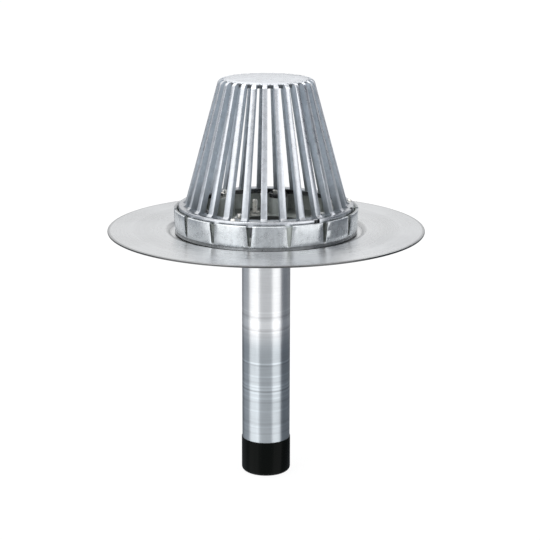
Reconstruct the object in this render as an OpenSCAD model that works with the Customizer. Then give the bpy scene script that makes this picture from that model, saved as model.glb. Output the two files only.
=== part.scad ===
// Flat roof drain: one spun aluminium body with a wide flange and a slender outlet stem,
// a cast clamping ring with tapered drainage slots, a cast dome strainer, their fasteners,
// and a rubber seal on the stem's end.
//
// Millimetres, +Z up. The origin is on the axis, at the underside of the flange's flat rim,
// which is the face that lies on the roof. Angles are counted from -Y, towards +X.

/* [Flange] */
// Diameter of the flange
flange_d = 444.5; // [400:0.5:520]
// Thickness of the spun sheet
sheet_t = 3; // [2:0.1:4]
// Inner diameter of the flange's flat rim
flat_d = 336; // [310:1:370]
// Fall of the dished part, from the flat rim to the edge of the recess
dish_fall = 1.2; // [0.5:0.1:4]
// Diameter of the recess at its upper edge
recess_d = 282; // [276:0.5:300]
// Horizontal run of the rounded step into the recess
step_run = 8; // [7:0.1:10]
// Depth of the rounded step into the recess
step_fall = 4.3; // [3:0.1:6]

/* [Outlet stem] */
// Outside diameter of the stem
stem_d = 68.6; // [60:0.1:80]
// Radius of the bell mouth between the recess and the stem
throat_r = 28; // [20:0.5:34]
// Length of the full-size stem below the flange's underside
stem_len = 307; // [200:1:400]
// Length of the necked end that carries the seal
neck_len = 34; // [20:1:50]
// Depth of the step from the stem to its necked end
neck_step = 1.5; // [1:0.1:1.8]

/* [Outlet seal] */
// How far the seal stands out past the stem
seal_proud = 0.8; // [0:0.1:3]
// Length of the seal
seal_len = 51; // [42:1:80]
// Bore of the seal below the end of the stem
seal_bore = 56; // [48:0.5:58]
// Radius of the seal's rounded lower edge
seal_round = 5; // [1:0.1:5]
// Radial clearance between the seal and the necked end
seal_fit = 0.1; // [0.1:0.05:0.3]

/* [Clamping ring] */
// Gap between the ring's foot and the rounded step of the recess
ring_gap = 5.2; // [2:0.1:8]
// Draft of the ring's outer face, as a change of radius over its height
ring_draft = 1.4; // [0:0.1:3]
// Thickness of the ring's wall at its top edge
ring_wall = 4.2; // [3:0.1:5]
// Height of the ring
ring_h = 35.3; // [30:0.1:45]
// Thickness of the ring's bottom flange
ring_floor_t = 6; // [4:0.1:9]
// Height of the slit under the ring's wall, where the roof membrane comes out
skirt_slit = 1.8; // [1:0.1:3]
// Radial depth of that slit
skirt_depth = 5; // [2:0.1:8]
// Inner diameter of the ring's bottom flange
ring_bore = 140; // [110:1:144]
// Number of tapered slots
slot_count = 15; // [9:3:24]
// Width of a slot at the top of the ring
slot_top_w = 9; // [6:0.1:14]
// Width of a slot at its rounded lower end
slot_low_w = 4.6; // [3:0.1:6]
// Height of a slot's lower end above the ring's bottom flange
slot_sill = 1; // [0.5:0.1:6]
// Direction of the first slot
slot_phase = 14.1; // [0:0.1:24]
// Width of the screw bosses inside the wall
boss_w = 27; // [23:0.5:30]
// Clearance between a washer on a boss and the strainer's base ring
washer_gap = 1; // [0.5:0.1:3]
// Thickness of the three pads inside the wall that carry the strainer
pad_t = 6; // [4:0.1:10]
// Width of those pads
pad_w = 16; // [12:0.5:24]

/* [Dome strainer] */
// Gap between the strainer's base ring and the clamping ring's wall
base_gap = 2.5; // [1:0.1:4]
// Radial width of the base ring
base_w = 17.5; // [14:0.1:18]
// Thickness of the base ring
base_t = 7; // [5:0.1:10]
// Depth of the base ring's seat below the clamping ring's top edge
base_drop = 2.8; // [1:0.1:5]
// Number of bars
bar_count = 27; // [18:3:33]
// Direction of the first bar
bar_phase = -1.4; // [-6:0.1:6]
// Distance of a bar's foot from the outer edge of the base ring
foot_inset = 8.6; // [6:0.1:10]
// Width of a bar at its foot
bar_foot_w = 8.6; // [6:0.1:12]
// Width of a bar at the shoulder
bar_top_w = 6; // [5:0.1:9]
// Radial depth of a bar
bar_depth = 9; // [6:0.1:12]
// How far the gaps between the bars run into the top, past the line of the bars
gap_reach = 8.3; // [4:0.1:12]
// Size of the gusset at the foot of each bar
foot_gusset = 3; // [1:0.1:4]
// Height of the strainer above its seat, to the middle of its top
dome_h = 184.4; // [140:0.1:220]
// Rise of the crowned top, from the ends of the gaps to the middle
crown_rise = 1.9; // [1.5:0.1:6]
// Diameter of the solid part of the top, inside the gaps
crown_d = 114; // [100:1:120]
// Thickness of the top
crown_t = 6; // [4:0.1:9]
// Radius of the shoulder where the bars turn into the top
shoulder_r = 8; // [5:0.1:8.5]
// Thickness of the strainer's three lugs
lug_t = 6; // [4:0.1:8]
// Depth of the spot face in each lug
spot_depth = 3; // [1:0.1:3.5]
// Width of the two pry notches in the base ring's edge
pry_w = 9; // [6:0.5:12]
// Depth of those notches
pry_depth = 3; // [2:0.1:3.5]

/* [Fasteners] */
// Thread diameter of the studs and bolts
thread_d = 8; // [6:0.5:8]
// Clearance round a thread where it passes through a hole
hole_play = 0.5; // [0.3:0.05:0.8]
// Clearance round a thread where it is screwed in
thread_play = 0.1; // [0.05:0.05:0.2]
// Size across the flats of the nuts and bolt heads
hex_af = 13; // [10:0.5:13]
// Height of the bolt heads and full nuts
hex_h = 5.6; // [4:0.1:8]
// Height of the thin nuts
thin_nut_h = 4; // [3:0.1:5]
// Outside diameter of the washers
washer_d = 16; // [13.5:0.5:16]
// Thickness of the washers
washer_t = 1.6; // [1:0.1:2]
// Distance from a flange washer to the edge of the ring's bore
flange_washer_edge = 2; // [1:0.1:8]
// Direction of the first flange stud
flange_stud_phase = 71.8; // [68:0.1:76]
// Height of a flange stud above the floor of the recess
flange_stud_h = 29; // [20:0.5:30]
// How far a boss stud stands up past its nut
boss_stud_end = 4.3; // [2:0.1:10]
// Length of the bolts under their heads
bolt_len = 24; // [16:0.5:24]
// Thread diameter of the strainer's round-headed screws
screw_d = 4; // [3:0.1:4.5]
// Head diameter of those screws
screw_head_d = 8; // [6.5:0.1:8.5]
// Head height of those screws
screw_head_h = 3.4; // [2.5:0.1:3.8]
// Length of those screws under their heads
screw_len = 15; // [12:0.5:17]
// Distance of those screws from the outer edge of the base ring
screw_inset = 4.5; // [4.5:0.1:6]

/* [Hidden] */
$fn = 96;

eps = 0.01;
past = 1;
// How far a round stands proud of the lines that it joins, so that they cross and don't only touch
cross = 0.03;
// Angle by which one bend runs into the next, so that they join
lap = 0.05;

// Body levels and radii
rim_top = sheet_t;
lip_top = rim_top - dish_fall;
floor_top = lip_top - step_fall;
flange_r = flange_d / 2;
lip_r = recess_d / 2;
floor_r = lip_r - step_run;
stem_r = stem_d / 2;
stem_bore_r = stem_r - sheet_t;
step_angle = 2 * atan(step_fall / step_run);
step_bend_r = step_run / (2 * sin(step_angle));
throat_z = floor_top - throat_r;
neck_r = stem_r - neck_step;

// Clamping ring
ring_top = floor_top + ring_h;
ring_low_r = floor_r - ring_gap;
ring_r = ring_low_r + ring_draft;
ring_in_r = ring_r - ring_wall;
ring_floor_top = floor_top + ring_floor_t;
slot_pitch = 360 / slot_count;
slot_low_r = slot_low_w / 2;
slot_axis_z = ring_floor_top + slot_sill + slot_low_r;
slot_flare = atan((slot_top_w / 2 - slot_low_r) / (ring_top - slot_axis_z));
thirds = [0, 120, 240];
stud_boss_phase = slot_phase + 3.5 * 24;
bolt_boss_phase = slot_phase + 1.5 * 24;
edge_break = 0.8;

// Strainer
seat_z = ring_top - base_drop;
base_top = seat_z + base_t;
base_r = ring_in_r - base_gap;
base_in_r = base_r - base_w;
boss_r = base_in_r - washer_gap - washer_d / 2;
foot_r = base_r - foot_inset;
lug_seat_z = seat_z - spot_depth;
lug_top = lug_seat_z + lug_t;
spot_z = lug_top - spot_depth;
lug_r = boss_w / 2 - 0.5;
crown_r = crown_d / 2;
crown_top = seat_z + dome_h;
bar_lean = atan((foot_r - crown_r - gap_reach) / (crown_top - base_top));
crown_ball_r = (pow(crown_r, 2) + pow(crown_rise, 2)) / (2 * crown_rise);
crown_ball_z = crown_top - crown_ball_r;
under_ball_r = crown_ball_r - crown_t;
under_edge_z = crown_ball_z + sqrt(pow(under_ball_r, 2) - pow(crown_r, 2));

// Round inner end of a gap: a radius larger than would just touch the bars on both sides
half_pitch = 180 / bar_count;
gap_end_r = (crown_r * sin(half_pitch) - bar_top_w / 2) / (1 - sin(half_pitch)) + past;
gap_end_at = crown_r + gap_end_r;

// Shoulder arc: tangent to the bars' outer line and, from inside, to the crown's sphere
lean_dir = [-sin(bar_lean), cos(bar_lean)];
lean_in = [-cos(bar_lean), -sin(bar_lean)];
shoulder_from = [foot_r, base_top] + lean_in * shoulder_r - [0, crown_ball_z];
shoulder_b = shoulder_from * lean_dir;
shoulder_c = shoulder_from * shoulder_from - pow(crown_ball_r - shoulder_r, 2);
shoulder_run = -shoulder_b + sqrt(pow(shoulder_b, 2) - shoulder_c);
shoulder_at = shoulder_from + lean_dir * shoulder_run + [0, crown_ball_z];
bar_end = shoulder_at - lean_in * shoulder_r;
crown_edge = [0, crown_ball_z]
    + (shoulder_at - [0, crown_ball_z]) * crown_ball_r / (crown_ball_r - shoulder_r);
inner_foot_r = foot_r - bar_depth;
inner_top_r = inner_foot_r - (crown_top - base_top) * tan(bar_lean);

// Fasteners
thread_r = thread_d / 2;
hex_corner_r = hex_af / sqrt(3);
flange_stud_r = ring_bore / 2 + flange_washer_edge + washer_d / 2;
boss_stud_h = seat_z - floor_top + washer_t + hex_h + boss_stud_end;
screw_circle_r = base_r - screw_inset;
pry_angles = [34, 76];

// Moves its children to a radius and a direction on the plan
module at(angle, radius, z = 0) {
    rotate([0, 0, angle - 90])
        translate([radius, 0, z])
            children();
}

// A band of even thickness round part of a circle, in the half-plane of a turned section
module arc_band(centre, mid_r, from, to) {
    outer_r = mid_r + sheet_t / 2;
    reach = 2 * outer_r;
    middle = (from + to) / 2;
    translate(centre)
        intersection() {
            difference() {
                circle(r = outer_r);
                circle(r = mid_r - sheet_t / 2);
            }
            polygon([[0, 0], reach * [cos(from), sin(from)],
                reach * [cos(middle), sin(middle)], reach * [cos(to), sin(to)]]);
        }
}

// One spun piece: rim, shallow dish, rounded step, recess floor, bell mouth and stem
module drain_body() {
    mid = sheet_t / 2;
    color("gainsboro")
        rotate_extrude() {
            translate([flange_r - mid, mid])
                circle(r = mid);
            translate([flat_d / 2, 0])
                square([flange_r - mid - flat_d / 2, sheet_t]);
            polygon([[lip_r, lip_top - sheet_t], [flat_d / 2, 0],
                [flat_d / 2, rim_top], [lip_r, lip_top]]);
            arc_band([lip_r, lip_top - mid - step_bend_r], step_bend_r,
                90, 90 + step_angle + lap);
            arc_band([floor_r, floor_top - mid + step_bend_r], step_bend_r,
                270, 270 + step_angle);
            translate([stem_bore_r + throat_r, floor_top - sheet_t])
                square([floor_r - stem_bore_r - throat_r, sheet_t]);
            arc_band([stem_bore_r + throat_r, throat_z], throat_r - mid, 90, 180);
            translate([stem_bore_r, -stem_len])
                square([sheet_t, throat_z + stem_len]);
            translate([stem_bore_r, -stem_len - neck_len])
                square([sheet_t - neck_step, neck_len]);
        }
}

// Rubber sleeve on the necked end, with a thicker rounded nose below the stem
module outlet_seal() {
    seal_r = stem_r + seal_proud;
    low_z = -stem_len - seal_len;
    color("#1c1d1e")
        rotate_extrude()
            difference() {
                union() {
                    translate([seal_bore / 2, low_z + seal_round])
                        square([seal_r - seal_bore / 2, seal_len - seal_round]);
                    translate([seal_bore / 2, low_z])
                        square([seal_r - seal_round - seal_bore / 2, seal_round + eps]);
                    translate([seal_r - seal_round, low_z + seal_round])
                        circle(r = seal_round);
                }
                translate([0, -stem_len - neck_len])
                    square([neck_r + seal_fit, neck_len + past]);
            }
}

// Outline of a tapered slot with a round lower end, seen from outside the ring
module slot_outline() {
    top = ring_top + past;
    top_x = slot_low_r / cos(slot_flare) + (top - slot_axis_z) * tan(slot_flare);
    low_x = slot_low_r * cos(slot_flare);
    low_z = slot_axis_z - slot_low_r * sin(slot_flare);
    polygon([[-top_x, top], [-low_x, low_z], [low_x, low_z], [top_x, top]]);
    translate([0, slot_axis_z])
        circle(r = slot_low_r);
}

// The ring's wall and bottom flange
module ring_shell() {
    rotate_extrude()
        polygon([[ring_bore / 2, floor_top], [ring_low_r, floor_top],
            [ring_r, ring_top - edge_break], [ring_r - edge_break, ring_top],
            [ring_in_r + edge_break, ring_top], [ring_in_r, ring_top - edge_break],
            [ring_in_r, ring_floor_top], [ring_bore / 2 + edge_break, ring_floor_top],
            [ring_bore / 2, ring_floor_top - edge_break]]);
}

// A round boss joined to the wall by a web of its own width
module boss(top) {
    height = top - floor_top;
    translate([0, 0, floor_top]) {
        cylinder(d = boss_w, h = height);
        translate([0, -boss_w / 2, 0])
            cube([ring_in_r + past - boss_r, boss_w, height]);
    }
}

// Cast ring that clamps the roof membrane and keeps gravel out
module clamping_ring() {
    color("silver")
        difference() {
            union() {
                difference() {
                    ring_shell();
                    for (i = [0 : slot_count - 1])
                        at(slot_phase + i * slot_pitch, ring_in_r - past)
                            rotate([90, 0, 90])
                                linear_extrude(ring_wall + 2 * past)
                                    slot_outline();
                }
                for (a = thirds) {
                    at(stud_boss_phase + a, boss_r)
                        boss(seat_z);
                    at(bolt_boss_phase + a, boss_r)
                        boss(lug_seat_z);
                    at(slot_phase + a, ring_in_r + past - pad_t, floor_top)
                        translate([0, -pad_w / 2, 0])
                            cube([pad_t, pad_w, seat_z - floor_top]);
                }
            }
            rotate_extrude()
                translate([ring_low_r - skirt_depth, floor_top - past])
                    square([skirt_depth + past, skirt_slit + past]);
            for (a = thirds) {
                at(stud_boss_phase + a, boss_r, floor_top - past)
                    cylinder(r = thread_r + hole_play, h = ring_h);
                at(flange_stud_phase + a, flange_stud_r, floor_top - past)
                    cylinder(r = thread_r + hole_play, h = ring_floor_t + 2 * past);
                at(bolt_boss_phase + a, boss_r, spot_z + washer_t - bolt_len - past)
                    cylinder(r = thread_r + thread_play, h = bolt_len + past);
                at(stud_boss_phase + a, screw_circle_r, base_top - screw_len - past)
                    cylinder(d = screw_d + 2 * thread_play, h = screw_len);
            }
        }
}

// Turned section of the strainer before the gaps are cut: base ring, bars and crown in one
module strainer_section() {
    polygon([[base_in_r, seat_z], [base_r, seat_z], [base_r, base_top - edge_break],
        [base_r - edge_break, base_top], [base_in_r, base_top]]);
    polygon([[foot_r - past, base_top - eps], [foot_r + foot_gusset, base_top - eps],
        [foot_r - foot_gusset * tan(bar_lean), base_top + foot_gusset]]);
    difference() {
        union() {
            polygon([[0, base_top - eps], [foot_r, base_top - eps], [foot_r, base_top],
                bar_end, shoulder_at, crown_edge, [0, crown_edge[1]]]);
            translate(shoulder_at)
                circle(r = shoulder_r + cross);
            intersection() {
                translate([0, crown_ball_z])
                    circle(r = crown_ball_r, $fn = 720);
                translate([0, crown_edge[1] - past])
                    square([crown_edge[0], crown_t + crown_rise + past]);
            }
        }
        intersection() {
            polygon([[-past, base_top - past], [inner_foot_r, base_top - past],
                [inner_foot_r, base_top], [inner_top_r, crown_top], [-past, crown_top]]);
            translate([0, crown_ball_z])
                circle(r = under_ball_r, $fn = 720);
        }
    }
}

// Everything between the base ring and the solid top, all round, less the bars
module bar_gaps() {
    beyond = crown_top + 2 * past;
    below = under_edge_z - past;
    difference() {
        union() {
            rotate_extrude()
                polygon([[gap_end_at, beyond], [gap_end_at, below],
                    [inner_top_r - past, below], [inner_foot_r - 3 * past, base_top],
                    [foot_r + foot_inset + past, base_top],
                    [foot_r + foot_inset + past, beyond]]);
            for (i = [0 : bar_count - 1])
                at(bar_phase + (2 * i + 1) * half_pitch, gap_end_at, below - past)
                    cylinder(r = gap_end_r, h = beyond - below);
        }
        for (i = [0 : bar_count - 1])
            at(bar_phase + 2 * i * half_pitch, inner_top_r - 3 * past)
                rotate([90, 0, 90])
                    linear_extrude(base_r - inner_top_r + 6 * past)
                        polygon([[-bar_foot_w / 2, base_top - past],
                            [bar_foot_w / 2, base_top - past],
                            [bar_top_w / 2, beyond + past], [-bar_top_w / 2, beyond + past]]);
    }
}

// Cast dome strainer: a base ring that nests in the clamping ring, bars, and a crowned top
module dome_strainer() {
    color("lightgray")
        difference() {
            union() {
                difference() {
                    rotate_extrude()
                        strainer_section();
                    bar_gaps();
                }
                for (a = thirds)
                    at(bolt_boss_phase + a, boss_r, lug_seat_z)
                        cylinder(r = lug_r, h = lug_t);
            }
            for (a = thirds) {
                at(bolt_boss_phase + a, boss_r, spot_z)
                    cylinder(d = washer_d + 3, h = base_t + past);
                at(bolt_boss_phase + a, boss_r, lug_seat_z - past)
                    cylinder(r = thread_r + hole_play, h = lug_t + 2 * past);
                at(stud_boss_phase + a, screw_circle_r, seat_z - past)
                    cylinder(d = screw_d + 2 * hole_play, h = base_t + 2 * past);
            }
            for (a = pry_angles)
                at(a, base_r - pry_depth, seat_z - past)
                    translate([0, -pry_w / 2, 0])
                        cube([2 * pry_depth, pry_w, base_t + 2 * past]);
        }
}

// A threaded rod, drawn plain at its thread's outside diameter, with a chamfered end
module stud(height) {
    chamfer = thread_d / 8;
    color("silver")
        rotate_extrude()
            polygon([[0, 0], [thread_r, 0], [thread_r, height - chamfer],
                [thread_r - chamfer, height], [0, height]]);
}

module washer() {
    color("silver")
        difference() {
            cylinder(d = washer_d, h = washer_t);
            translate([0, 0, -past])
                cylinder(r = thread_r + hole_play, h = washer_t + 2 * past);
        }
}

// A hexagon with its upper corners turned off
module hex_body(height) {
    turned = hex_corner_r - hex_af / 2;
    intersection() {
        cylinder(r = hex_corner_r, h = height, $fn = 6);
        rotate_extrude()
            polygon([[0, 0], [hex_corner_r + past, 0],
                [hex_corner_r + past, height - turned / 2 - past / 2],
                [hex_af / 2 - turned / 2, height], [0, height]]);
    }
}

module nut(height) {
    color("silver")
        difference() {
            hex_body(height);
            translate([0, 0, -past])
                cylinder(r = thread_r + thread_play, h = height + 2 * past);
        }
}

module hex_bolt() {
    color("silver") {
        hex_body(hex_h);
        translate([0, 0, -bolt_len])
            cylinder(r = thread_r, h = bolt_len);
    }
}

// Round-headed screw with a straight slot
module round_screw() {
    ball_r = (pow(screw_head_d / 2, 2) + pow(screw_head_h, 2)) / (2 * screw_head_h);
    slot_w = screw_head_d / 7;
    color("silver") {
        difference() {
            rotate_extrude()
                intersection() {
                    translate([0, screw_head_h - ball_r])
                        circle(r = ball_r);
                    square([screw_head_d / 2, screw_head_h]);
                }
            translate([-screw_head_d, -slot_w / 2, screw_head_h * 0.6])
                cube([2 * screw_head_d, slot_w, screw_head_h]);
        }
        translate([0, 0, -screw_len])
            cylinder(d = screw_d, h = screw_len);
    }
}

drain_body();
clamping_ring();
dome_strainer();
outlet_seal();
for (i = [0 : 2]) {
    number = str(i + 1);
    flange_at = flange_stud_phase + thirds[i];
    stud_at = stud_boss_phase + thirds[i];
    bolt_at = bolt_boss_phase + thirds[i];
    at(flange_at, flange_stud_r, floor_top) stud(flange_stud_h);
    at(flange_at, flange_stud_r, ring_floor_top) washer();
    at(flange_at, flange_stud_r, ring_floor_top + washer_t) nut(thin_nut_h);
    at(stud_at, boss_r, floor_top) stud(boss_stud_h);
    at(stud_at, boss_r, seat_z) washer();
    at(stud_at, boss_r, seat_z + washer_t) nut(hex_h);
    at(bolt_at, boss_r, spot_z + washer_t) hex_bolt();
    at(bolt_at, boss_r, spot_z) washer();
    at(stud_at, screw_circle_r, base_top) round_screw();
}
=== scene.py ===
# %% [markdown]
# # A flat roof drain
#
# A retrofit roof drain is four things stacked on one axis: a spun aluminium body (a wide flange
# that runs down into a long pipe), a cast ring that clamps the roof membrane, a cast dome that
# keeps leaves out, and a rubber seal on the pipe's end. The solids come from the CAD model as a
# fixed frame. This script lights them, gives them their finishes, and adds what is too fine for
# the solids, such as screw threads.

# %% Load the drain
import math

import bmesh
import bpy
from mathutils import Matrix, Vector


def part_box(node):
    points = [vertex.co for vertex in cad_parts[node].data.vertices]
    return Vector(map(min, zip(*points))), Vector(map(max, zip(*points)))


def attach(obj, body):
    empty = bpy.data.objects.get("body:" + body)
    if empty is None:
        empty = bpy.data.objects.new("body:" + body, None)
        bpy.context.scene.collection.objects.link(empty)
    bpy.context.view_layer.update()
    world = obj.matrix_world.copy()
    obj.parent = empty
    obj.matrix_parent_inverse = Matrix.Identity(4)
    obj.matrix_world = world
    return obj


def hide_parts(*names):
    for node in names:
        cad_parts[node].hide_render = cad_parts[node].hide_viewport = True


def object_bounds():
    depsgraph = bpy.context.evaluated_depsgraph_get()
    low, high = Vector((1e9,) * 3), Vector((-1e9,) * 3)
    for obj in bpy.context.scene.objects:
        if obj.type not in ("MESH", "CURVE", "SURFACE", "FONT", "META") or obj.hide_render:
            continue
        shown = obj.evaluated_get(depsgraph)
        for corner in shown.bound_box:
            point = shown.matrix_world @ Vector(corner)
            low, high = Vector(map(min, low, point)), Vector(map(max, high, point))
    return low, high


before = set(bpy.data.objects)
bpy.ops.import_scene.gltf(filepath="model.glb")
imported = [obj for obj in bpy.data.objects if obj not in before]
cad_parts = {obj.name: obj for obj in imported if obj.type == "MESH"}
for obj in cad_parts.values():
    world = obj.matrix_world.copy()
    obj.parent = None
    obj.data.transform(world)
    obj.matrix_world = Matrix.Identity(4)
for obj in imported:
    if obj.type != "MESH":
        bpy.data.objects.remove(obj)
cad_low, cad_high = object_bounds()
print("the drain is", [round(1000 * side, 1) for side in cad_high - cad_low], "mm")

# %% [markdown]
# ## Camera
#
# The drain is seen from a little above the flange, about two metres away, with a long lens. A
# camera could be aimed with a Track To constraint. Here its place and two angles are written
# down, because the height of each ellipse depends on them and nothing may drift.

# %% Camera
CAMERA_PLACE = Vector((0.0055, -2.2, 0.5088))
CAMERA_PITCH = math.radians(-14.478)
CAMERA_ROLL = math.radians(0.087)
LENS_MM = 106.99
SENSOR_MM = 36.0

camera_data = bpy.data.cameras.new("camera")
camera_data.lens = LENS_MM
camera_data.sensor_width = SENSOR_MM
camera_data.clip_end = 50.0
camera = bpy.data.objects.new("camera", camera_data)
camera.matrix_world = (Matrix.Translation(CAMERA_PLACE)
                       @ Matrix.Rotation(math.radians(90) + CAMERA_PITCH, 4, "X")
                       @ Matrix.Rotation(CAMERA_ROLL, 4, "Z"))
bpy.context.scene.collection.objects.link(camera)
bpy.context.scene.camera = camera
bpy.context.scene.view_settings.view_transform = "Standard"
print("camera looks down by", round(-math.degrees(CAMERA_PITCH), 2), "degrees")

# %% [markdown]
# ## Shader maths that reads like Python
#
# Procedural finishes need sums such as the distance from the axis. Wiring a Math node for each
# is slow to read. One small class wraps a socket, so that `radius * 40 + noise` adds the nodes
# by itself, and one method makes every other kind of node.

# %% Numbers
class Value:
    """A node's output, mostly a number, on which sums can be made."""

    def __init__(self, tree, socket):
        self.tree = tree
        self.socket = socket

    def maths(self, operation, *others):
        return self.tree.add("ShaderNodeMath", {"operation": operation},
                             dict(enumerate((self,) + others)))

    def __add__(self, other):
        return self.maths("ADD", other)

    def __sub__(self, other):
        return self.maths("SUBTRACT", other)

    def __rsub__(self, other):
        return self.tree.add("ShaderNodeMath", {"operation": "SUBTRACT"}, {0: other, 1: self})

    def __mul__(self, other):
        return self.maths("MULTIPLY", other)

    def __truediv__(self, other):
        return self.maths("DIVIDE", other)

    __radd__ = __add__
    __rmul__ = __mul__

    def at_least(self, *others):
        """The largest of this number and some others."""
        largest = self
        for other in others:
            largest = largest.maths("MAXIMUM", other)
        return largest

    def step(self, low, high):
        """0 below low, 1 above high, and a smooth rise between them."""
        return self.tree.add("ShaderNodeMapRange", {"interpolation_type": "SMOOTHSTEP"},
                             {"Value": self, "From Min": low, "From Max": high})

    def band(self, middle, half, soft):
        """1 within half of middle, falling to 0 over soft."""
        return 1 - (self - middle).maths("ABSOLUTE").step(half, half + soft)


# %% Nodes
class Tree:
    """A material's or the world's nodes."""

    def __init__(self, owner):
        owner.use_nodes = True
        self.nodes = owner.node_tree.nodes
        self.links = owner.node_tree.links
        self.nodes.clear()

    def node(self, kind, settings=None, values=None):
        """A new node: its settings come first, then its sockets' values or links."""
        made = self.nodes.new(kind)
        for name, setting in (settings or {}).items():
            setattr(made, name, setting)
        for name, value in (values or {}).items():
            if isinstance(value, Value):
                self.links.new(value.socket, made.inputs[name])
            else:
                made.inputs[name].default_value = value
        return made

    def add(self, kind, settings=None, values=None, out=0):
        """A new node's output, ready for sums."""
        return Value(self, self.node(kind, settings, values).outputs[out])

    def grey(self, value):
        return self.add("ShaderNodeCombineColor", None, {0: value, 1: value, 2: value})

    def mix(self, factor, first, second):
        """A colour between two colours."""
        return self.add("ShaderNodeMix", {"data_type": "RGBA"},
                        {0: factor, 6: first, 7: second}, out=2)

    def tinted(self, tone, tint):
        """A grey tone, coloured by a tint."""
        return self.add("ShaderNodeMix", {"data_type": "RGBA", "blend_type": "MULTIPLY"},
                        {0: 1.0, 6: self.grey(tone), 7: tint}, out=2)

    def bump(self, height, strength, distance):
        return self.add("ShaderNodeBump", None,
                        {"Strength": strength, "Distance": distance, "Height": height})

    def place(self):
        """The point's place on the drain, in metres, and its distance from the axis."""
        where = self.add("ShaderNodeTexCoord", None, None, out="Object")
        split = self.node("ShaderNodeSeparateXYZ", None, {0: where})
        x, y, z = (Value(self, split.outputs[i]) for i in range(3))
        return where, x, y, z, (x * x + y * y).maths("SQRT")

    def vector(self, x, y, z):
        return self.add("ShaderNodeCombineXYZ", None, {0: x, 1: y, 2: z})

    def noise(self, where, scale, detail):
        """Cloudy noise from 0 to 1. Its blots are about 1 / scale of a metre wide."""
        return self.add("ShaderNodeTexNoise", None,
                        {"Vector": where, "Scale": scale, "Detail": detail, "Roughness": 0.5})


# %% [markdown]
# ## Studio
#
# Bare metal has hardly any colour of its own: what it shows is the room. A pipe in a white
# studio gets upright bright streaks from tall soft boxes to its left and right, and grey between
# them. Real soft boxes could be area lamps. Here they are part of the world, painted by
# direction, so that every height of the pipe sees the same streaks. One more box hangs high at
# the back, to the left, and shines along the flange. A glow from above lights the tops, and a
# glow from below the undersides.
#
# The camera and glass see plain white instead. So does shiny metal, but only towards the back
# and near the horizon, where a white backdrop would stand.

# %% World
def colour(red, green=None, blue=None):
    """A colour with full alpha. One number makes a grey."""
    if green is None:
        return (red, red, red, 1.0)
    return (red, green, blue, 1.0)


# Soft boxes, in degrees: direction from the front, towards the right; half width; soft edge.
# The last number is the strength.
SOFT_BOXES = [(-60, 21, 8, 1.12), (53, 18, 7, 1.12), (-5, 24, 22, 0.41), (-108, 14, 18, 0.22)]
HIGH_BOX = (-150, 20, 40, 0.95)
ROOM_GREY = 0.17
TOP_GLOW = 0.60
FLOOR_GLOW = 0.30
BACKDROP_SHARE = 0.86
COOL_TINT = colour(0.88, 0.96, 1.08)

world = bpy.data.worlds.new("studio")
bpy.context.scene.world = world
sky = Tree(world)
direction = sky.add("ShaderNodeTexCoord", None, None, out="Generated")
towards = sky.node("ShaderNodeSeparateXYZ", None, {0: direction})
east, north, up = (Value(sky, towards.outputs[i]) for i in range(3))
level = (east * east + north * north + 1e-6).maths("SQRT")


def soft_box(angle, half, soft, strength):
    """The light of an upright box, which fades over its soft edge."""
    turn = math.radians(angle)
    facing = (east * math.sin(turn) - north * math.cos(turn)) / level
    edge = math.cos(math.radians(half + soft))
    core = math.cos(math.radians(half))
    return facing.step(edge, core) * strength


glow = up.step(0.35, 0.95) * TOP_GLOW + (1 - up.step(-0.70, -0.35)) * FLOOR_GLOW + ROOM_GREY
for box in SOFT_BOXES:
    glow = glow + soft_box(*box)
glow = glow + soft_box(*HIGH_BOX) * up.step(0.20, 0.45)
room = sky.tinted(glow, sky.mix(glow.step(0.15, 0.8), COOL_TINT, colour(1.0)))
studio_light = sky.add("ShaderNodeBackground", None, {"Color": room, "Strength": 1.0})
backdrop = sky.add("ShaderNodeBackground", None, {"Color": colour(1.0), "Strength": 1.0})
rays = sky.node("ShaderNodeLightPath")
camera_ray, glossy_ray, transmission_ray = (
    Value(sky, rays.outputs[name])
    for name in ("Is Camera Ray", "Is Glossy Ray", "Is Transmission Ray"))
at_the_back = (north / level).step(0.30, 0.75)
near_horizon = up.step(-0.12, 0.16) * (1 - up.step(0.29, 0.37))
seen = camera_ray + transmission_ray + glossy_ray * at_the_back * near_horizon * BACKDROP_SHARE
sky.node("ShaderNodeOutputWorld", None, {
    "Surface": sky.add("ShaderNodeMixShader", None, {0: seen, 1: studio_light, 2: backdrop})})
print("the room has", len(SOFT_BOXES) + 1, "soft boxes")

# %% [markdown]
# The floor is a wide white sheet under the seal. It could be plain diffuse white, but then its
# far edge would be greyer than the backdrop. Mixing in its own white light hides the edge and
# still lets the drain's soft shadow show.

# %% Floor
def mm(length):
    """Millimetres as metres, Blender's unit."""
    return length / 1000


def new_piece(name, mesh_maker):
    """A mesh object at the origin, made by a function that fills a bmesh."""
    form = bmesh.new()
    mesh_maker(form)
    mesh = bpy.data.meshes.new(name)
    form.to_mesh(mesh)
    form.free()
    piece = bpy.data.objects.new(name, mesh)
    bpy.context.scene.collection.objects.link(piece)
    return piece


FLOOR_Z = cad_low.z - mm(0.5)
FLOOR_REACH = 9.0
OWN_LIGHT_SHARE = 0.88


def floor_sheet(form):
    bmesh.ops.create_grid(form, x_segments=1, y_segments=1, size=FLOOR_REACH,
                          matrix=Matrix.Translation((0, 0, FLOOR_Z)))


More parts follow.
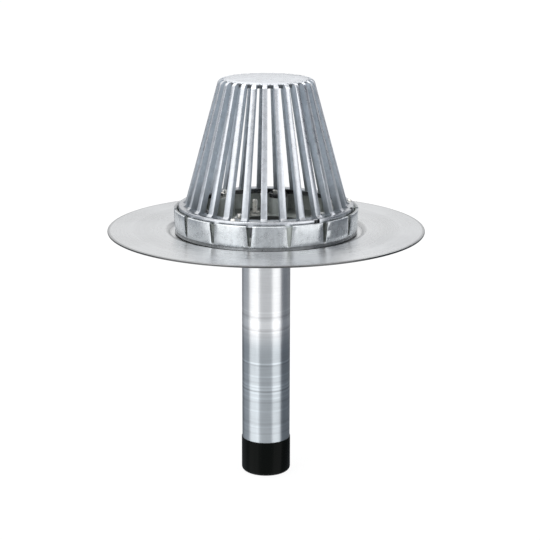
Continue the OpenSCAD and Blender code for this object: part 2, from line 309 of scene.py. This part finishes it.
floor = new_piece("floor", floor_sheet)
floor_white = bpy.data.materials.new("floor_white")
sheet = Tree(floor_white)
paper = sheet.add("ShaderNodeBsdfDiffuse", None, {"Color": colour(0.86)})
own_light = sheet.add("ShaderNodeEmission", None, {"Color": colour(1.0), "Strength": 1.05})
sheet.node("ShaderNodeOutputMaterial", None, {
    "Surface": sheet.add("ShaderNodeMixShader", None,
                         {0: OWN_LIGHT_SHARE, 1: paper, 2: own_light})})
floor.data.materials.append(floor_white)
floor.visible_glossy = False
print("the floor lies at", round(1000 * FLOOR_Z, 1), "mm")

# %% [markdown]
# The world surrounds the drain, so by itself it leaves hardly any shade. A large lamp above, in
# front and to the left gives the shapes a direction: lit tops, shaded undersides. A weaker one
# behind, to the right, picks out the far edges.

# %% Lamps
def soft_lamp(name, place, size, watts):
    """A round area lamp that faces the drain."""
    lamp = bpy.data.lights.new(name, "AREA")
    lamp.shape = "DISK"
    lamp.size = size
    lamp.energy = watts
    holder = bpy.data.objects.new(name, lamp)
    facing = (Vector((0, 0, 0.05)) - Vector(place)).to_track_quat("-Z", "Y")
    holder.matrix_world = Matrix.Translation(place) @ facing.to_matrix().to_4x4()
    bpy.context.scene.collection.objects.link(holder)
    print(name, "stands", round(Vector(place).length, 2), "m away")


soft_lamp("key_lamp", (-1.0, -1.2, 2.0), size=1.2, watts=9)
soft_lamp("rim_lamp", (0.9, 1.4, 1.4), size=1.0, watts=5)

# %% [markdown]
# ## Finishes
#
# All five finishes are Principled shaders. Four of them are grey metal, and what tells those
# apart is how rough they are and how that varies: circles from spinning and turning, speckle
# from casting, clouds from plating.

# %% One shader for every finish
def principled(tree, **values):
    """A Principled shader on the material's output. Socket names are written in small letters."""
    names = {key.replace("_", " ").title().replace("Ior", "IOR"): value
             for key, value in values.items()}
    shader = tree.add("ShaderNodeBsdfPrincipled", None, names)
    tree.node("ShaderNodeOutputMaterial", None, {"Surface": shader})


# %% [markdown]
# A finish changes at an edge: the rim, the step round the recess, the mouth of the pipe. The
# places of those edges could be typed in, but then they would be wrong as soon as the model
# changes. They are measured from the corners of the solids instead.

# %% Measure the ring and the body
def corners(name):
    """Every corner of a solid: its distance from the axis, and its height."""
    return [(corner.co.xy.length, corner.co.z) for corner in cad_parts[name].data.vertices]


ring_low, ring_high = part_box("clamping_ring")
ring_bore_r = min(radius for radius, z in corners("clamping_ring"))
floor_z = ring_low.z

body_corners = corners("drain_body")
rim_r = max(radius for radius, z in body_corners)
pipe_bore_r = min(radius for radius, z in body_corners)
throat_r = min(radius for radius, z in body_corners if abs(z - floor_z) < 1e-5) - pipe_bore_r
step_r = min(radius for radius, z in body_corners if z > mm(1.5))
print("the rim's radius is", round(1000 * rim_r, 2), "mm and the step's is",
      round(1000 * step_r, 2), "mm")

# %% [markdown]
# The body is spun and its pipe turned, so every mark runs round the axis. A noise that is only
# given the distance from the axis and the height has to draw circles, and a small share of x and
# y breaks some of them into arcs. Thin lines at chosen heights of the pipe are where the tool
# was lifted and set down again. The sheen is stretched across the marks, which anisotropy does.

# %% Marks of the spinning and turning tools
# Turned marks on the pipe, in mm: height, half width, soft edge; then how much lighter
TOOL_LINES = [
    (-113, 0.6, 0.6, 0.10), (-120.5, 0.9, 1.2, -0.12), (-131, 4.6, 1.5, 0.12),
    (-139.7, 0.6, 0.7, -0.13), (-142.6, 0.6, 0.8, 0.08), (-148.5, 1.0, 2.0, -0.05),
    (-188.4, 0.8, 0.7, 0.17), (-191.4, 0.6, 0.7, -0.08), (-207.6, 0.7, 0.9, 0.09),
    (-216.5, 0.8, 1.2, -0.06), (-222.4, 0.9, 0.9, 0.12), (-226.8, 0.7, 0.8, 0.10),
    (-229.8, 0.4, 0.6, -0.19), (-232.7, 0.7, 0.8, 0.10), (-240, 0.8, 1.0, 0.07),
    (-246, 0.9, 1.2, -0.07), (-259.3, 0.8, 1.0, 0.07), (-278.5, 0.9, 1.3, -0.06),
    (-283, 0.8, 1.0, 0.07), (-293.3, 0.9, 1.3, -0.07)]


def tool_lines(z):
    """How much lighter the turned marks make a height of the pipe."""
    lines = 0.0
    for height, half, soft, gain in TOOL_LINES:
        lines = z.band(mm(height), mm(half), mm(soft)) * gain + lines
    return lines


def inside_pipe(radius, z):
    """1 on the inner face of the pipe and its bell mouth, which no light reaches."""
    across = radius - (pipe_bore_r + throat_r)
    above = z - (floor_z - throat_r)
    from_centre = (across * across + above * above).maths("SQRT")
    in_throat = (from_centre.step(throat_r - mm(1.5), throat_r - mm(0.8))
                 * (1 - across.step(mm(-6), 0.0)) * above.step(0.0, mm(2)))
    in_pipe = 1 - radius.step(pipe_bore_r + mm(0.8), pipe_bore_r + mm(1.4))
    return in_throat.at_least(in_pipe)


# %% Spun aluminium
def spun_aluminium():
    material = bpy.data.materials.new("spun_aluminium")
    tree = Tree(material)
    where, x, y, z, radius = tree.place()

    circles = tree.vector(radius, 0.0, z)
    arcs = tree.vector(radius, x * 0.06, y * 0.06 + z)
    fine = tree.noise(circles, 900.0, 3.0)
    broad = tree.noise(circles, 60.0, 2.0)
    strokes = tree.noise(arcs, 600.0, 3.0)
    smears = tree.noise(where, 14.0, 3.0)

    # The lower pipe is darker and bluer than the upper, and the flange is a little darker too
    lower = 1 - z.step(mm(-175), mm(-136))
    flange = z.step(mm(-12), mm(-6))

    # Painted shade: dark lines inside the rim, on its edge, and down the step into the recess
    rim_shade = radius.step(rim_r - mm(5.0), rim_r - mm(1.8)) * 0.42
    rim_edge_shade = radius.step(rim_r - mm(0.9), rim_r - mm(0.3)) * 0.40
    step_shade = radius.band(step_r - mm(2.5), mm(2.0), mm(3.5)) * flange * 0.26

    tone = (broad - 0.5) * 0.12 + (fine - 0.5) * 0.13 + (smears - 0.5) * 0.14
    tone = tone + tool_lines(z) + 0.86
    tone = tone + (strokes - 0.5) * 0.12 + (smears - 0.5) * lower * 0.22
    tone = (tone - lower * 0.25 - flange * 0.17) * (1 - rim_shade - rim_edge_shade - step_shade)
    # Painted shade inside the pipe and its bell mouth
    tone = tone * (1 - inside_pipe(radius, z) * 0.8)
    tint = tree.mix(lower * 0.9, colour(0.97, 0.985, 1.0), colour(0.86, 0.94, 1.0))
    rough = fine * 0.08 + smears * 0.10 - lower * 0.06 - flange * 0.09 + 0.28
    principled(tree, base_color=tree.tinted(tone, tint), metallic=1.0, roughness=rough,
               anisotropic=0.8, anisotropic_rotation=0.25,
               normal=tree.bump(fine + broad * 2.0 + strokes, 0.25, mm(0.3)))
    return material


# %% [markdown]
# Castings are brighter on the outer skin than in any recess, where they stay dull grey: rougher,
# less metallic, tinted, and darkened by painted shade. How deep a point lies under the outer skin
# decides it. The skin of the strainer is a cone with a domed top, and the skin of the clamping
# ring is nearly a cylinder, so the depth is a short sum and needs no ambient occlusion.

# %% Measure the strainer's skin
strainer_low, strainer_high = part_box("dome_strainer")
outline = corners("dome_strainer")


def widest(low, high):
    """The strainer's outermost corner between two heights: its radius and its height."""
    return max(corner for corner in outline if low < corner[1] < high)


base_top = max(z for radius, z in outline if radius > strainer_high.x - mm(3))
foot_r, foot_z = widest(base_top + mm(1), base_top + mm(12))
shoulder_r, shoulder_z = widest(strainer_high.z - mm(10), strainer_high.z)
crown_r, crown_z = widest(strainer_high.z - mm(3), strainer_high.z)
lean = math.atan((foot_r - shoulder_r) / (shoulder_z - foot_z))
crown_drop = (strainer_high.z - crown_z) / crown_r ** 2
print("the bars lean in by", round(math.degrees(lean), 2), "degrees, and the top falls by",
      round(1000 * (strainer_high.z - crown_z), 2), "mm to its edge")

# %% Cast aluminium
def cast_aluminium(name, bright, skin_tint, recess_tint, recess_and_shade):
    """A casting. Its last argument gives how deep (0 to 1) a point is, and how much painted shade
    (0 to 1) darkens it.
    """
    material = bpy.data.materials.new(name)
    tree = Tree(material)
    where, x, y, z, radius = tree.place()

    speckle = tree.noise(where, 900.0, 2.0)
    grain = tree.noise(where, 330.0, 2.0)
    mottle = tree.noise(where, 110.0, 3.0)
    streak = tree.noise(tree.vector(x * 3.0, y * 3.0, z * 0.5), 60.0, 3.0)

    recess, shade = recess_and_shade((mottle - 0.5) * mm(0.3), radius, z)
    tone = (mottle - 0.5) * 0.30 + (speckle - 0.5) * 0.16 + (streak - 0.5) * 0.30 + bright
    # Painted shade darkens the recesses
    tone = (tone + (grain - 0.5) * 0.20) * (1 - shade)
    tint = tree.mix(recess, skin_tint, recess_tint)
    rough = mottle * 0.14 + recess * 0.14 + 0.21
    principled(tree, base_color=tree.tinted(tone, tint), metallic=1 - recess * 0.5,
               roughness=rough,
               normal=tree.bump(speckle + grain + mottle * 2.0, 0.12, mm(0.4)))
    return material


# %% [markdown]
# Each casting has its own dark places, where shade is painted on. On the strainer they are the
# sides of the bars, most near their foot, the blind ends of the gaps under the crown, the inner
# wall of the base, and its top with the foot of each bar. On the ring they are the slots, the
# bore, the floor with its bosses, the foot of the wall and the slit below it, and the top face
# beside the strainer. The edges of the recesses are a little ragged, as a real skin's are.

# %% Where the strainer is dull, and where shade is painted on it
CROWN_PLATE_R = mm(59.5)


def strainer_recess_and_shade(ragged, radius, z):
    under_cone = (foot_r + foot_z * math.tan(lean) - z * math.tan(lean) - radius) * math.cos(lean)
    under_top = strainer_high.z - z - radius * radius * crown_drop
    in_bars = z.step(base_top - mm(0.6), base_top + mm(0.6))
    depth = under_cone.maths("MINIMUM", under_top) * in_bars
    recess = (depth + ragged).step(mm(0.6), mm(2.2))

    # Painted shade falls on the recesses, most near the foot of the bars, on the blind ends of the
    # gaps under the crown, on the inner wall of the base, and on its top round the feet of the bars
    near_foot = 1 - z.step(base_top, base_top + mm(45))
    in_crown = 1 - radius.step(CROWN_PLATE_R - mm(1), CROWN_PLATE_R + mm(1))
    gap_end = (under_top + ragged).step(mm(0.7), mm(1.4)) * in_crown
    base_wall = ((strainer_high.x - radius).step(mm(1.2), mm(2.0))
                 * (1 - z.step(base_top - mm(1.4), base_top - mm(0.8))))
    ledge = (z.step(base_top - mm(1.2), base_top - mm(0.8))
             * (1 - z.step(base_top + mm(1.5), base_top + mm(6.0))))
    shade = recess * (near_foot * 0.42 + 0.12)
    return recess, shade.at_least(gap_end * 0.85, base_wall * 0.88, ledge * 0.36)


# %% Where the ring is dull, and where shade is painted on it
def ring_recess_and_shade(ragged, radius, z):
    inside = ring_high.x - mm(1.8) - radius
    below_rim = ring_high.z - mm(0.6) - z
    recess = (inside.maths("MINIMUM", below_rim) + ragged * 0.3).step(mm(0.2), mm(1.2))

    # Painted shade falls on the recesses, most in the slots through the wall, on the foot of the
    # wall where it meets the flange, on the slit at the bottom, the bore, the floor, the bosses,
    # and the top face beside the strainer
    in_wall = radius.step(ring_high.x - mm(3.1), ring_high.x - mm(2.7))
    wall_foot = in_wall * (1 - z.step(ring_low.z + mm(1.8), ring_low.z + mm(7.8)))
    under_skirt = 1 - z.step(ring_low.z + mm(1.5), ring_low.z + mm(2.0))
    in_bore = 1 - radius.step(ring_bore_r + mm(0.5), ring_bore_r + mm(1.2))
    floor_edge = (radius.step(ring_high.x - mm(55), ring_high.x - mm(30))
                  * (1 - z.step(ring_low.z + mm(6.2), ring_low.z + mm(6.8))))
    bosses = (radius.step(ring_high.x - mm(24.5), ring_high.x - mm(22.5))
              * (1 - radius.step(ring_high.x - mm(6.5), ring_high.x - mm(5.5)))
              * (1 - z.step(ring_high.z - mm(7.5), ring_high.z - mm(6.5))))
    top_face = (z.step(ring_high.z - mm(1.2), ring_high.z - mm(0.6))
                * (1 - radius.step(ring_high.x - mm(1.4), ring_high.x - mm(0.6))))
    shade = recess * (in_wall * 0.56 + 0.38)
    return recess, shade.at_least(under_skirt * 0.92, in_bore * 0.92, wall_foot * 0.64,
                                  floor_edge * 0.65, bosses * 0.50, top_face * 0.55)


# %% [markdown]
# Zinc plating is slightly yellow and clouded by the bath it comes from. It could be one plain
# metal, but the clouds keep small nuts from looking like chrome.

# %% Plated steel
def plated_steel():
    material = bpy.data.materials.new("plated_steel")
    tree = Tree(material)
    where, x, y, z, radius = tree.place()
    cloud = tree.noise(where, 300.0, 2.0)
    principled(tree, base_color=tree.tinted(cloud * 0.20 + 0.76, colour(1.0, 0.98, 0.93)),
               metallic=1.0, roughness=cloud * 0.15 + 0.22)
    return material


# %% [markdown]
# Moulded rubber is almost black, and its skin reflects little. Most of what is seen of it is
# that weak reflection of the soft boxes, so its specular level matters more than its colour.

# %% Rubber
def black_rubber():
    material = bpy.data.materials.new("rubber")
    tree = Tree(material)
    where, x, y, z, radius = tree.place()
    skin = tree.noise(where, 500.0, 2.0)
    principled(tree, base_color=tree.mix(skin, colour(0.001, 0.0015, 0.0012),
                                         colour(0.002, 0.003, 0.0025)),
               roughness=skin * 0.1 + 0.22, specular_ior_level=0.08)
    return material


# %% [markdown]
# Each solid keeps its shape and swaps its plain material for a finish. The fasteners share one.

# %% Put the finishes on
steel = plated_steel()
FINISHES = {
    "drain_body": spun_aluminium(),
    "outlet_seal": black_rubber(),
    "clamping_ring": cast_aluminium("cast_ring", 0.75, colour(0.93, 0.97, 1.0),
                                    colour(0.94, 1.0, 0.95), ring_recess_and_shade),
    "dome_strainer": cast_aluminium("cast_strainer", 0.82, colour(0.92, 0.95, 1.0),
                                    colour(0.84, 0.92, 1.0), strainer_recess_and_shade)}
for name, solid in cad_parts.items():
    solid.data.materials.clear()
    solid.data.materials.append(FINISHES.get(name, steel))
print("finished", len(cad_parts), "solids")

# %% [markdown]
# ## Screw threads
#
# The studs are plain rods in the CAD model. A thread could be a bump map, but then the rod's
# outline would stay straight. Here a zig-zag line goes once round the rod's axis and climbs by
# one pitch on the way, so that its end meets the next tooth of its start, and merging the
# doubles joins the two. Cutting it level at both ends and capping the cuts closes it. Last, the
# corners near the top are drawn in to make the chamfer on which a nut starts.

# %% Threads
THREAD_PITCH = mm(1.25)
TOOTH_DEPTH = mm(0.7)
TURN_STEPS = 32
END_CHAMFER = mm(1.0)
SPARE_HALF_TEETH = 3


def threaded_rod(form, low, high):
    """Fill a bmesh with a threaded rod that just fits in the box between two corners."""
    middle = (low + high) / 2
    crest = (high.x - low.x) / 2
    half_teeth = 2 * math.ceil((high.z - low.z) / THREAD_PITCH + 2) + SPARE_HALF_TEETH
    line = []
    for i in range(half_teeth):
        height = low.z + (i - SPARE_HALF_TEETH) * THREAD_PITCH / 2
        line.append(form.verts.new((middle.x + crest - (i % 2) * TOOTH_DEPTH, middle.y, height)))
    edges = [form.edges.new(pair) for pair in zip(line, line[1:])]
    bmesh.ops.spin(form, geom=line + edges, cent=(middle.x, middle.y, 0), axis=(0, 0, 1),
                   dvec=(0, 0, THREAD_PITCH / TURN_STEPS), angle=math.tau, steps=TURN_STEPS)
    bmesh.ops.remove_doubles(form, verts=form.verts, dist=1e-6)
    for height, outwards in ((low.z, -1), (high.z, 1)):
        cut = bmesh.ops.bisect_plane(form, geom=form.verts[:] + form.edges[:] + form.faces[:],
                                     plane_co=(0, 0, height), plane_no=(0, 0, outwards),
                                     clear_outer=True)
        rim = [part for part in cut["geom_cut"] if isinstance(part, bmesh.types.BMEdge)]
        bmesh.ops.edgeloop_fill(form, edges=rim)
    for corner in form.verts:
        arm = Vector((corner.co.x - middle.x, corner.co.y - middle.y))
        limit = crest - max(0.0, corner.co.z - high.z + END_CHAMFER)
        if arm.length > limit:
            arm = arm.normalized() * limit
            corner.co.x, corner.co.y = middle.x + arm.x, middle.y + arm.y
    bmesh.ops.recalc_face_normals(form, faces=form.faces)


stud_names = [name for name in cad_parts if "_stud_" in name]
for name in stud_names:
    rod = new_piece(name + "_thread", lambda form: threaded_rod(form, *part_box(name)))
    rod.data.materials.append(steel)
    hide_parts(name)
    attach(rod, "root")
    print(rod.name, "has", len(rod.data.polygons), "faces")

# %% [markdown]
# ## Rounded edges
#
# No cast or pressed edge is a knife edge, and it is the small rounding that catches the light.
# The solids are loose triangles, so a Weld joins them first, and a Bevel then rounds every
# edge that turns sharply. The spun body is left as it is: the edges that show are round
# already, and the sheen of its turned marks is laid out from the mesh without modifiers.

# %% Round the edges
ROUNDING_MM = {"clamping_ring": 0.9, "dome_strainer": 0.9, "outlet_seal": 0.6}
FASTENER_ROUNDING_MM = 0.3
SHARP_ANGLE = math.radians(35)


def round_edges(solid, width):
    weld = solid.modifiers.new("join", "WELD")
    weld.merge_threshold = 1e-6
    bevel = solid.modifiers.new("rounding", "BEVEL")
    bevel.width = width
    bevel.segments = 2
    bevel.limit_method = "ANGLE"
    bevel.angle_limit = SHARP_ANGLE
    bevel.harden_normals = True


for name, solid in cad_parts.items():
    if name != "drain_body":
        round_edges(solid, mm(ROUNDING_MM.get(name, FASTENER_ROUNDING_MM)))
print("rounded the edges of", len(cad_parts) - 1, "solids")
